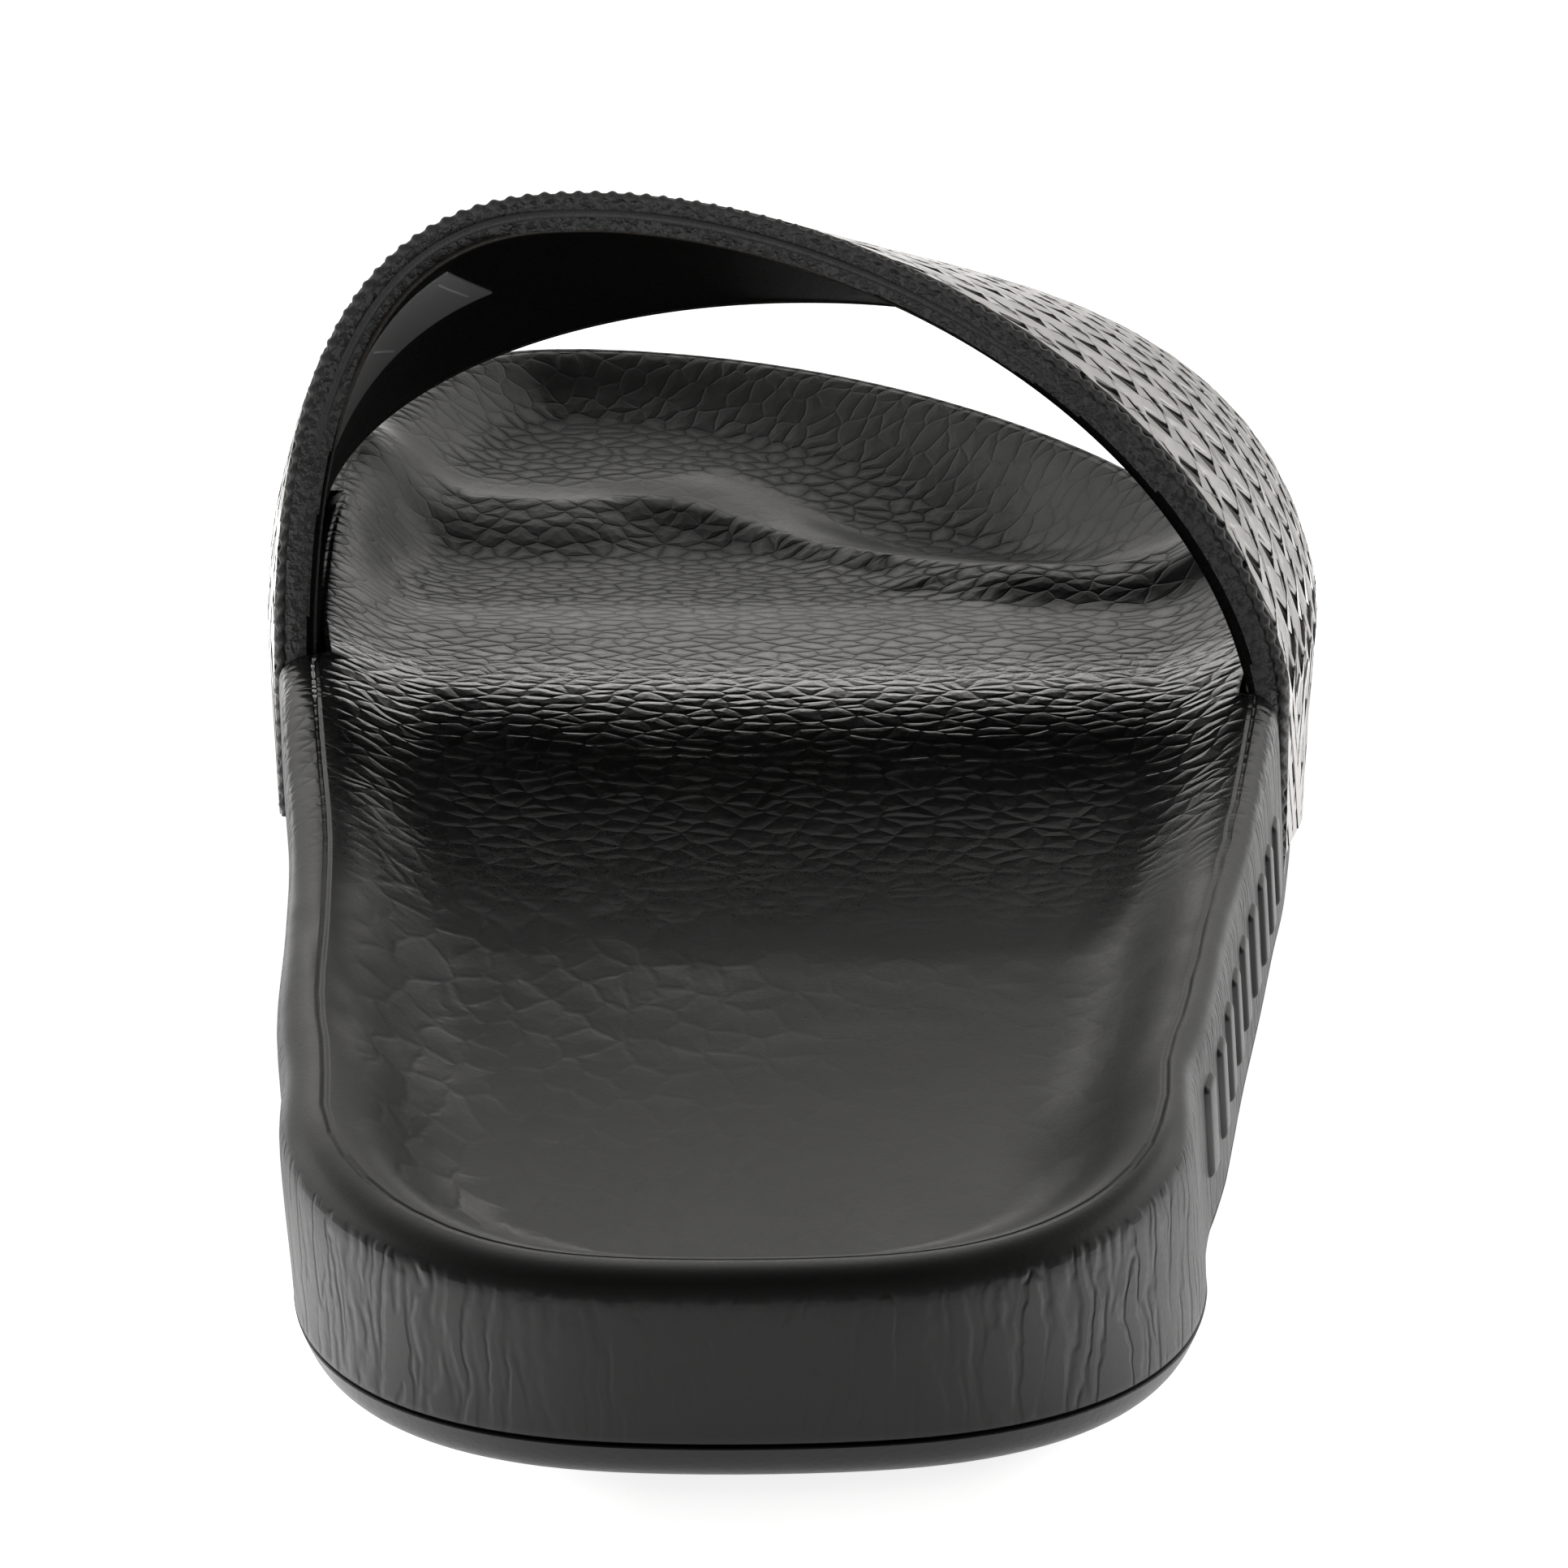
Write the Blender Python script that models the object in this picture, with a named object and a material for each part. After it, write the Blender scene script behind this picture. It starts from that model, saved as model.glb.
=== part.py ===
# Sport slide sandal, right shoe, standing on a floor at Z = 0.
# +Y points to the toe, +X to the outer (lateral) side. Y = 0 is halfway along the sole.
import math
from collections import namedtuple

import bmesh
import bpy
from mathutils import Vector

MM = 0.001

# Sole
SOLE_LENGTH = 270 * MM  # back of the heel to the tip of the toe
BALL_WIDTH = 103 * MM
HEEL_WIDTH = 71 * MM
TIP_INSET = 19 * MM  # the toe's tip lies this far inwards of the heel's centre line
TOE_SPRING = 9 * MM  # lift of the ground side under the toe's tip
ARCH_LIFT = 1.5 * MM  # lift of the ground side under the waist

# Outsole
OUTSOLE_THICK = 3.6 * MM
OUTSOLE_TUCK = 4.2 * MM  # how far its side curves in on the way down
TREAD_MARGIN = 4.5 * MM
GROOVE_DEPTH = 1.6 * MM
GROOVE_WIDTH = 3.4 * MM
GROOVE_PITCH = 13 * MM

# Footbed
RIM_BACK = 17 * MM  # top of the rim over the floor, at the back of the heel
RIM_SIDE = 19.8 * MM  # beside the heel
RIM_WING = 24.5 * MM  # where the rim rises towards the strap
RIM_TOE = 18.2 * MM  # over the lifted ground side at the tip
RIM_INSET = 2.8 * MM  # wall to the crest of the rim
SHOULDER = 2.8 * MM  # height of the rounding outside the crest
WALL_LEAN = 1 * MM  # the outer flank leans in by this much up to the rim
WALL_FLARE = 1 * MM  # the inner flank and the heel flare out by this much up to the rim
DISH_WIDTH = 13.5 * MM  # wall to the foot of the rim's inner slope
CUP_DEPTH = 1.6 * MM  # crosswise hollow of the heel cup
HEEL_SEAT = 12.8 * MM  # footbed over the ground side at the heel
ARCH_PLATEAU = 20.4 * MM  # behind the ball
TOE_HOLLOW = 15.4 * MM  # just behind the toe bar
TOE_SEAT = 12.2 * MM  # ahead of the toe bar
BAR_HEIGHT = 2.6 * MM
BAR_RISE = 7 * MM
BAR_FALL = 22 * MM
SEAM_ROUND = 0.5 * MM

# Strap
STRAP_WALL = 3.2 * MM
STRAP_PROUD = 2.2 * MM  # how far the strap stands out from the flank where its arch starts
STRAP_FOOT = 0.4 * MM  # how far at most it stands out at its foot
STRAP_EDGE = 0.7 * MM  # rounding of its front and rear edges
STRAP_LEDGE = 2.5 * MM  # footbed left under the strap's ends
STRAP_SPRING = 22 * MM  # height at which the arch starts
INSTEP_HEIGHT = 65.4 * MM  # crown of the strap's rear edge over the floor
STRAP_FRONT = 46.4 * MM  # crown of its front edge

GAP = 0.3 * MM
MEDIAL, LATERAL = -1, 1

# How finely the surfaces are cut into faces
OUTSOLE_STEP = 8 * MM
OUTSOLE_CLEAR = 1.8 * MM  # no plain station lies closer than this to a groove's own
FOOTBED_STEP = 5.6 * MM
FOOTBED_CLEAR = 1.8 * MM
END_DEGREES = range(0, 91, 10)  # stations round the heel's and the toe's end
TOE_CAP = 0.155  # share of the length that the toe's end takes
OUTSOLE_COLUMNS = 6
SEAM_COLUMNS = 3
FOOTBED_COLUMNS = 12
TUCK_DEGREES = (8, 35, 62, 90)
SHOULDER_DEGREES = (30, 60, 90)
DISH_SHARES = (0.17, 0.38, 0.62, 1.0)
ARCH_FACES = 44
END_FACES = 2
BAND_FACES = 10
ARCH_TURN = 0.88  # share of the strap's turn that is arch; the rest is its two straight ends

# The flank's plan: distance of each flank from the heel's centre line, as a share of a width that
# is the heel's where heel is 1 and the ball's where it is 0.
Plan = namedtuple("Plan", "along medial lateral heel")
PLAN = (
    Plan(0.000, 0.472, 0.507, 1.00),
    Plan(0.130, 0.487, 0.520, 1.00),
    Plan(0.185, 0.478, 0.525, 0.85),
    Plan(0.278, 0.449, 0.524, 0.60),
    Plan(0.370, 0.429, 0.528, 0.35),
    Plan(0.480, 0.433, 0.542, 0.15),
    Plan(0.593, 0.437, 0.549, 0.00),
    Plan(0.700, 0.447, 0.558, 0.00),
    Plan(1.000, 0.437, 0.558, 0.00),
)
HEEL_ROUND = 0.5  # the heel's end is round over this share of its width
HEEL_POWER = 2.65
TOE_START = {MEDIAL: 0.710, LATERAL: 0.611}  # share of the length where each side turns in
TOE_POWER = {MEDIAL: 2.55, LATERAL: 1.75}

# Heights along the sole. spring and arch are shares of the ground side's lifts; the other
# columns are the weights of the named heights above.
Ground = namedtuple("Ground", "along spring arch")
GROUND = (
    Ground(0.000, 0.00, 0.0),
    Ground(0.290, 0.00, 0.0),
    Ground(0.380, 0.00, 1.0),
    Ground(0.470, 0.00, 0.0),
    Ground(0.690, 0.00, 0.0),
    Ground(0.800, 0.14, 0.0),
    Ground(0.900, 0.46, 0.0),
    Ground(1.000, 1.00, 0.0),
)
Rim = namedtuple("Rim", "along back side wing toe")
RIM = (
    Rim(0.000, 1.0, 0.0, 0.0, 0.0),
    Rim(0.030, 0.6, 0.4, 0.0, 0.0),
    Rim(0.090, 0.0, 1.0, 0.0, 0.0),
    Rim(0.300, 0.0, 1.0, 0.0, 0.0),
    Rim(0.400, 0.0, 0.6, 0.4, 0.0),
    Rim(0.470, 0.0, 0.1, 0.9, 0.0),
    Rim(0.560, 0.0, 0.0, 1.0, 0.0),
    Rim(0.700, 0.0, 0.0, 0.9, 0.1),
    Rim(0.820, 0.0, 0.0, 0.5, 0.5),
    Rim(1.000, 0.0, 0.0, 0.0, 1.0),
)
Bed = namedtuple("Bed", "along seat plateau hollow toe cup")
BED = (
    Bed(0.000, 1.0, 0.0, 0.0, 0.0, 1.0),
    Bed(0.300, 1.0, 0.0, 0.0, 0.0, 1.0),
    Bed(0.360, 0.8, 0.2, 0.0, 0.0, 0.8),
    Bed(0.520, 0.0, 1.0, 0.0, 0.0, 0.5),
    Bed(0.600, 0.0, 0.9, 0.1, 0.0, 0.4),
    Bed(0.700, 0.0, 0.4, 0.6, 0.0, 0.4),
    Bed(0.790, 0.0, 0.0, 1.0, 0.0, 0.3),
    Bed(0.880, 0.0, 0.0, 0.3, 0.7, 0.2),
    Bed(1.000, 0.0, 0.0, 0.0, 1.0, 0.0),
)

# Crest of the toe bar: across is the share of the ball's width from the heel's centre line.
Bar = namedtuple("Bar", "across along")
BAR = (
    Bar(-0.45, 0.862),
    Bar(-0.34, 0.830),
    Bar(-0.19, 0.818),
    Bar(-0.11, 0.829),
    Bar(-0.04, 0.823),
    Bar(0.09, 0.774),
    Bar(0.22, 0.714),
    Bar(0.34, 0.692),
    Bar(0.50, 0.690),
)

# Sections of the strap from its rear edge (across 0) to its front edge (across 1). crown is a
# share of the way from the rear crown's height to the front one's; shift is the crown's place
# off the heel's centre line as a share of the ball's width. The powers round each half of the
# arch; the last two columns are shares of the distance by which each end stands out.
SECTION_NAMES = "across crown shift along medial_power lateral_power medial_proud lateral_proud"
Section = namedtuple("Section", SECTION_NAMES)
STRAP = (
    Section(0.00, 0.00, -0.136, 0.592, 2.66, 1.78, 0.20, -0.40),
    Section(0.25, 0.28, -0.090, 0.645, 2.50, 2.02, 0.60, 0.35),
    Section(0.50, 0.53, -0.040, 0.698, 2.30, 2.18, 0.90, 0.80),
    Section(0.75, 0.77, 0.020, 0.751, 2.15, 2.24, 1.00, 1.00),
    Section(1.00, 1.00, 0.078, 0.804, 2.00, 2.20, 1.00, 1.00),
)
STRAP_REAR = {MEDIAL: 0.519, LATERAL: 0.467}  # share of the length, of each end's rear edge
STRAP_FORE = {MEDIAL: 0.752, LATERAL: 0.704}

# Shares of the sole's length between which the treads lie.
TREADS = ((0.075, 0.290), (0.480, 0.880))


def smooth(share):
    """Soft step from 0 to 1."""
    share = min(max(share, 0.0), 1.0)
    return share * share * (3.0 - 2.0 * share)


def column_at(table, name, at, key="along"):
    """A column's value on a smooth curve through the table's rows."""
    places = [getattr(row, key) for row in table]
    values = [getattr(row, name) for row in table]
    at = min(max(at, places[0]), places[-1])
    last = len(places) - 1
    i = 0
    while i < last - 1 and at > places[i + 1]:
        i += 1
    steps = [(values[k + 1] - values[k]) / (places[k + 1] - places[k]) for k in range(last)]

    def slope(k):
        if k in (0, last) or steps[k - 1] * steps[k] <= 0:
            return 0.0
        return 2.0 * steps[k - 1] * steps[k] / (steps[k - 1] + steps[k])

    width = places[i + 1] - places[i]
    t = (at - places[i]) / width
    start, end = slope(i) * width, slope(i + 1) * width
    return (
        values[i] * (2 * t**3 - 3 * t**2 + 1)
        + values[i + 1] * (3 * t**2 - 2 * t**3)
        + start * (t**3 - 2 * t**2 + t)
        + end * (t**3 - t**2)
    )


WIDEST = max(PLAN, key=lambda row: (row.medial + row.lateral) * (1 - row.heel))
HEEL_X = -BALL_WIDTH * (WIDEST.lateral - WIDEST.medial) / 2  # puts the ball's middle at X = 0


def y_of(along):
    return (along - 0.5) * SOLE_LENGTH


def along_of(y):
    return y / SOLE_LENGTH + 0.5


def flank_x(side, along):
    """X of the sole's flank at the seam between outsole and footbed."""
    heel = column_at(PLAN, "heel", along)
    width = HEEL_WIDTH * heel + BALL_WIDTH * (1 - heel)
    share = column_at(PLAN, "medial" if side == MEDIAL else "lateral", along)
    out = side * width * share
    round_part = along * SOLE_LENGTH / (HEEL_WIDTH * HEEL_ROUND)
    if round_part < 1:
        out *= max(0.0, 1 - (1 - round_part) ** HEEL_POWER) ** (1 / HEEL_POWER)
    turned = (along - TOE_START[side]) / (1 - TOE_START[side])
    if turned > 0:
        power = TOE_POWER[side]
        cap = max(0.0, 1 - min(turned, 1.0) ** power) ** (1 / power)
        out = -TIP_INSET + (out + TIP_INSET) * cap
    return HEEL_X + out


def ground_z(y):
    along = along_of(y)
    return TOE_SPRING * column_at(GROUND, "spring", along) + ARCH_LIFT * column_at(GROUND, "arch", along)


def seam_z(y):
    return ground_z(y) + OUTSOLE_THICK + GAP


def rim_z(y):
    along = along_of(y)
    back, side, wing, toe = (column_at(RIM, name, along) for name in ("back", "side", "wing", "toe"))
    return back * RIM_BACK + side * RIM_SIDE + wing * RIM_WING + toe * (RIM_TOE + TOE_SPRING)


def bar_lift(x, y):
    """The toe bar: a quick rise to its crest and a slow fall ahead of it."""
    crest = y_of(column_at(BAR, "along", (x - HEEL_X) / BALL_WIDTH, "across"))
    ahead = y - crest
    if ahead < 0:
        return BAR_HEIGHT * smooth(1 + ahead / BAR_RISE)
    return BAR_HEIGHT * (1 - smooth(ahead / BAR_FALL))


def bed_z(x, y):
    """Height of the footbed inside its rim."""
    along = along_of(y)
    seat, plateau, hollow, toe, cup = (
        column_at(BED, name, along) for name in ("seat", "plateau", "hollow", "toe", "cup")
    )
    level = seat * HEEL_SEAT + plateau * ARCH_PLATEAU + hollow * TOE_HOLLOW + toe * (TOE_SEAT + TOE_SPRING)
    left, right = flank_x(MEDIAL, along), flank_x(LATERAL, along)
    half = max((right - left) / 2, HEEL_WIDTH / 4)
    off = min(abs(x - (left + right) / 2) / half, 1.0)
    return level + cup * CUP_DEPTH * off * off + bar_lift(x, y)


def flank_outward(side, along):
    """Direction in plan that points away from the sole at a flank."""
    step = 2 * MM
    share = step / SOLE_LENGTH
    run = Vector((flank_x(side, along + share) - flank_x(side, along - share), 2 * step))
    return Vector((run.y, -run.x)).normalized() * side


CORNER = 0.25 * MM  # run of the recess's end faces


def beside_strap(side, along):
    """Whether a place on a flank lies behind the strap's end."""
    y = y_of(along)
    slack = GAP + CORNER / 4
    return y_of(STRAP_REAR[side]) - slack <= y <= y_of(STRAP_FORE[side]) + slack


def foot_z(y):
    """Height of the foot of the strap's end, just over the footbed's ledge."""
    return seam_z(y) + STRAP_LEDGE + CORNER + GAP


def strap_out(side, along, z):
    """How far the strap's straight end stands out from the flank at a height."""
    across = (along - STRAP_REAR[side]) / (STRAP_FORE[side] - STRAP_REAR[side])
    share = column_at(STRAP, "medial_proud" if side == MEDIAL else "lateral_proud", across, "across")
    top = STRAP_PROUD * share
    down = max(0.0, (STRAP_SPRING - z) / (STRAP_SPRING - foot_z(y_of(along))))
    return top + (min(top, STRAP_FOOT) - top) * down


def base_stations(middle_step):
    """Shares of the length at which the sole is cut, closer together round its two ends."""
    heel_round = HEEL_WIDTH * HEEL_ROUND / SOLE_LENGTH
    middle = 1 - TOE_CAP - heel_round
    quarter = [math.radians(a) for a in END_DEGREES]
    stations = [heel_round * (1 - math.cos(a)) for a in quarter]
    count = max(2, round(middle * SOLE_LENGTH / middle_step))
    stations += [heel_round + middle * k / count for k in range(1, count)]
    stations += [1 - TOE_CAP * (1 - math.cos(a)) for a in reversed(quarter)]
    return stations


def with_steps(stations, steps, clear):
    """Adds the stations at which a step lies and drops those that come too close to one."""
    kept = [s for s in stations if all(abs(s - t) > clear for t in steps) or s in (0.0, 1.0)]
    return sorted(set(kept) | set(steps))


def plan_ring(stations):
    """Points round the sole at the seam, with each point's outward direction, side and station.

    It starts at the back of the heel, runs up the lateral side and comes back on the medial one.
    """
    ring = [(LATERAL, s) for s in stations] + [(MEDIAL, s) for s in reversed(stations[1:-1])]
    points = [Vector((flank_x(side, s), y_of(s))) for side, s in ring]
    count = len(points)
    result = []
    for i, (side, s) in enumerate(ring):
        run = points[(i + 1) % count] - points[i - 1]
        outward = Vector((run.y, -run.x)).normalized()
        result.append((points[i], outward, side, s))
    return result


class Shell:
    """A closed skin of rings and of rows that span a ring from its lateral to its medial side."""

    def __init__(self, name):
        self.name = name
        self.mesh = bmesh.new()

    def ring(self, places):
        return [self.mesh.verts.new(place) for place in places]

    def band(self, lower, upper):
        count = len(lower)
        for i in range(count):
            j = (i + 1) % count
            self.mesh.faces.new((lower[i], lower[j], upper[j], upper[i]))

    def span(self, ring, columns, place, top):
        """Fills a ring with a grid. place(x, y) gives each inner point's height."""
        half = len(ring) // 2
        rows = [[ring[0]]]
        for i in range(1, half):
            right, left = ring[i], ring[-i]
            row = [right]
            for k in range(1, columns):
                share = k / columns
                x = right.co.x + (left.co.x - right.co.x) * share
                y = right.co.y + (left.co.y - right.co.y) * share
                row.append(self.mesh.verts.new((x, y, place(x, y))))
            row.append(left)
            rows.append(row)
        rows.append([ring[half]])
        for near, far in zip(rows, rows[1:]):
            for k in range(columns):
                a, b = near[min(k, len(near) - 1)], near[min(k + 1, len(near) - 1)]
                c, d = far[min(k + 1, len(far) - 1)], far[min(k, len(far) - 1)]
                corners = list(dict.fromkeys((a, d, c, b) if not top else (a, b, c, d)))
                if len(corners) > 2:
                    self.mesh.faces.new(corners if not top else list(reversed(corners)))

    def finish(self, material, sharp_degrees=40):
        bmesh.ops.recalc_face_normals(self.mesh, faces=self.mesh.faces)
        data = bpy.data.meshes.new(self.name)
        self.mesh.to_mesh(data)
        self.mesh.free()
        data.materials.append(material)
        data.shade_smooth()
        data.set_sharp_from_angle(angle=math.radians(sharp_degrees))
        thing = bpy.data.objects.new(self.name, data)
        bpy.context.scene.collection.objects.link(thing)
        return thing


def material_of(name, colour, roughness):
    material = bpy.data.materials.new(name)
    material.use_nodes = True
    shader = material.node_tree.nodes["Principled BSDF"]
    shader.inputs["Base Color"].default_value = (*colour, 1.0)
    shader.inputs["Roughness"].default_value = roughness
    shader.inputs["Metallic"].default_value = 0.0
    return material


def inset(point, outward, distance):
    return point - outward * distance


def build_outsole(material):
    """Ground layer: its side tucks in on the way down, and two treads are cut across its face."""
    grooves = []
    for start, end in TREADS:
        count = max(1, int((end - start) * SOLE_LENGTH / GROOVE_PITCH))
        middle = (start + end) / 2
        grooves += [middle + (k - (count - 1) / 2) * GROOVE_PITCH / SOLE_LENGTH for k in range(count)]
    half_groove = GROOVE_WIDTH / 2 / SOLE_LENGTH
    steps = [g + part * half_groove for g in grooves for part in (-1, 0, 1)]
    stations = with_steps(base_stations(OUTSOLE_STEP), steps, OUTSOLE_CLEAR / SOLE_LENGTH)
    ring = plan_ring(stations)
    shell = Shell("outsole")
    top = shell.ring(
        (*inset(p, n, SEAM_ROUND), ground_z(p.y) + OUTSOLE_THICK) for p, n, side, s in ring
    )
    shell.span(top, SEAM_COLUMNS, lambda x, y: ground_z(y) + OUTSOLE_THICK, True)
    above = top
    for degrees in TUCK_DEGREES:
        angle = math.radians(degrees)
        tuck, height = OUTSOLE_TUCK * (1 - math.cos(angle)), OUTSOLE_THICK * (1 - math.sin(angle))
        below = shell.ring((*inset(p, n, tuck), ground_z(p.y) + height) for p, n, side, s in ring)
        shell.band(below, above)
        above = below
    margin = shell.ring(
        (*inset(p, n, OUTSOLE_TUCK + TREAD_MARGIN), ground_z(p.y)) for p, n, side, s in ring
    )
    shell.band(margin, above)

    def tread_z(x, y):
        nearest = min(abs(along_of(y) - g) for g in grooves)
        depth = GROOVE_DEPTH * max(0.0, 1 - nearest / half_groove)
        return ground_z(y) + depth

    shell.span(margin, OUTSOLE_COLUMNS, tread_z, False)
    return shell.finish(material)


def build_footbed(material):
    """Foam body: flanks recessed behind the strap's ends, raised rim, heel cup, arch, toe bar."""
    steps = []
    for side in (MEDIAL, LATERAL):
        rear, fore = STRAP_REAR[side] - GAP / SOLE_LENGTH, STRAP_FORE[side] + GAP / SOLE_LENGTH
        corner = CORNER / SOLE_LENGTH
        steps += [rear - corner, rear, fore, fore + corner]
    stations = with_steps(base_stations(FOOTBED_STEP), steps, FOOTBED_CLEAR / SOLE_LENGTH)
    ring = plan_ring(stations)
    shell = Shell("footbed")

    def wall_inset(y, z, outward, side, s, cut_in=True):
        """How far in the flank lies at a height; the recess is cut where cut_in is true."""
        if cut_in and beside_strap(side, s):
            return STRAP_WALL + GAP - strap_out(side, s, z)
        rise = min(1.0, (z - seam_z(y)) / (rim_z(y) - SHOULDER - seam_z(y)))
        return (WALL_LEAN * max(0.0, outward.x) - WALL_FLARE * max(0.0, -outward.x)) * rise

    def wall_ring(level, cut_in):
        """level(y) gives the ring's height."""
        places = []
        for p, n, side, s in ring:
            z = level(p.y)
            places.append((*inset(p, n, wall_inset(p.y, z, n, side, s, cut_in)), z))
        return shell.ring(places)

    base = shell.ring((*inset(p, n, SEAM_ROUND), seam_z(p.y)) for p, n, side, s in ring)
    shell.span(base, SEAM_COLUMNS, lambda x, y: seam_z(y), False)
    levels = [
        (lambda y: seam_z(y) + SEAM_ROUND, False),
        (lambda y: seam_z(y) + STRAP_LEDGE, False),
        (lambda y: seam_z(y) + STRAP_LEDGE + CORNER, True),
        (lambda y: rim_z(y) - SHOULDER, True),
    ]
    below = base
    for level, cut_in in levels:
        above = wall_ring(level, cut_in)
        shell.band(below, above)
        below = above

    def top_ring(distance, fall, slope):
        """fall is the drop below the crest outside it; slope runs from 0 at the crest to 1."""
        places = []
        for p, n, side, s in ring:
            ease = 1 - smooth(distance / RIM_INSET / 2)
            z = rim_z(p.y) - fall
            spot = inset(p, n, distance + wall_inset(p.y, z, n, side, s) * ease)
            z += (bed_z(spot.x, spot.y) - z) * slope
            places.append((*spot, z))
        return shell.ring(places)

    for degrees in SHOULDER_DEGREES:
        angle = math.radians(degrees)
        above = top_ring(RIM_INSET * (1 - math.cos(angle)), SHOULDER * (1 - math.sin(angle)), 0.0)
        shell.band(below, above)
        below = above
    for share in DISH_SHARES:
        distance = RIM_INSET + (DISH_WIDTH - RIM_INSET) * share
        above = top_ring(distance, 0.0, smooth(share))
        shell.band(below, above)
        below = above
    shell.span(below, FOOTBED_COLUMNS, bed_z, True)
    return shell.finish(material)


def strap_point(across, turn):
    """A point of the strap's outer face. turn runs from -1 at the medial end to 1 at the lateral."""
    side = MEDIAL if turn < 0 else LATERAL
    along = STRAP_REAR[side] + (STRAP_FORE[side] - STRAP_REAR[side]) * across
    flank, outward = Vector((flank_x(side, along), y_of(along))), flank_outward(side, along)
    foot = flank + outward * strap_out(side, along, STRAP_SPRING)
    if abs(turn) > ARCH_TURN:
        low = foot_z(flank.y)
        z = low + (STRAP_SPRING - low) * (1 - abs(turn)) / (1 - ARCH_TURN)
        return Vector((*(flank + outward * strap_out(side, along, z)), z))
    crown_z = INSTEP_HEIGHT + (STRAP_FRONT - INSTEP_HEIGHT) * column_at(STRAP, "crown", across, "across")
    crown_x = HEEL_X + BALL_WIDTH * column_at(STRAP, "shift", across, "across")
    crown_y = y_of(column_at(STRAP, "along", across, "across"))
    power = column_at(STRAP, "medial_power" if side == MEDIAL else "lateral_power", across, "across")
    angle = math.pi / 2 * (1 - abs(turn) / ARCH_TURN)
    out, up = math.cos(angle) ** (2 / power), math.sin(angle) ** (2 / power)
    z = STRAP_SPRING + (crown_z - STRAP_SPRING) * up
    upright = rim_z(foot.y) + GAP
    leaning = max(0.0, (z - upright) / (crown_z - upright))
    return Vector((crown_x + (foot.x - crown_x) * out, foot.y + (crown_y - foot.y) * leaning, z))


def strap_normal(across, turn):
    """Outward direction of the strap's outer face."""
    step = 0.004  # share of the strap's width and of its turn over which the slope is taken
    before, after = max(across - step, 0.0), min(across + step, 1.0)
    low, high = max(turn - step, -1.0), min(turn + step, 1.0)
    run = strap_point(after, turn) - strap_point(before, turn)
    rise = strap_point(across, high) - strap_point(across, low)
    return rise.cross(run).normalized()


def build_strap(material):
    """The upper: one arched wall, open at the front, the back and underneath."""
    arch = [ARCH_TURN * (2 * k / ARCH_FACES - 1) for k in range(ARCH_FACES + 1)]
    ends = [ARCH_TURN + (1 - ARCH_TURN) * k / END_FACES for k in range(1, END_FACES + 1)]
    turns = [-t for t in reversed(ends)] + arch + ends
    rounded = STRAP_EDGE / (SOLE_LENGTH * (STRAP_FORE[MEDIAL] - STRAP_REAR[MEDIAL]))
    acrosses = [0.0, rounded] + [k / BAND_FACES for k in range(1, BAND_FACES)] + [1 - rounded, 1.0]
    shell = Shell("strap")

    def face(depth):
        rows = []
        for across in acrosses:
            edge = across in (0.0, 1.0)
            into = depth + (STRAP_EDGE if depth == 0 else -STRAP_EDGE) * edge
            rows.append([
                shell.mesh.verts.new(strap_point(across, t) - flat_ends(strap_normal(across, t), t) * into)
                for t in turns
            ])
        return rows

    def flat_ends(normal, turn):
        """Keeps the strap's straight ends plumb and its wall even there."""
        if abs(turn) < ARCH_TURN:
            return normal
        return Vector((normal.x, normal.y, 0.0)).normalized()

    outer, inner = face(0.0), face(STRAP_WALL)
    rows, columns = len(acrosses), len(turns)
    quads = []
    for i in range(rows - 1):
        for k in range(columns - 1):
            quads.append((outer[i][k], outer[i][k + 1], outer[i + 1][k + 1], outer[i + 1][k]))
            quads.append((inner[i + 1][k], inner[i + 1][k + 1], inner[i][k + 1], inner[i][k]))
    for k in range(columns - 1):
        quads.append((outer[0][k + 1], outer[0][k], inner[0][k], inner[0][k + 1]))
        quads.append((outer[-1][k], outer[-1][k + 1], inner[-1][k + 1], inner[-1][k]))
    for i in range(rows - 1):
        quads.append((outer[i][0], outer[i + 1][0], inner[i + 1][0], inner[i][0]))
        quads.append((outer[i + 1][-1], outer[i][-1], inner[i][-1], inner[i + 1][-1]))
    for quad in quads:
        shell.mesh.faces.new(quad)
    return shell.finish(material)


def clear_scene():
    for thing in list(bpy.data.objects):
        bpy.data.objects.remove(thing, do_unlink=True)


def main():
    clear_scene()
    rubber = material_of("outsole_rubber", (0.018, 0.018, 0.019), 0.55)
    foam = material_of("footbed_foam", (0.022, 0.022, 0.023), 0.6)
    band = material_of("strap_band", (0.03, 0.03, 0.031), 0.5)
    build_outsole(rubber)
    build_footbed(foam)
    build_strap(band)


main()
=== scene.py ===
import math

import bmesh
import bpy
import numpy as np
from mathutils import Euler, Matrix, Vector
from mathutils.bvhtree import BVHTree


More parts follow.
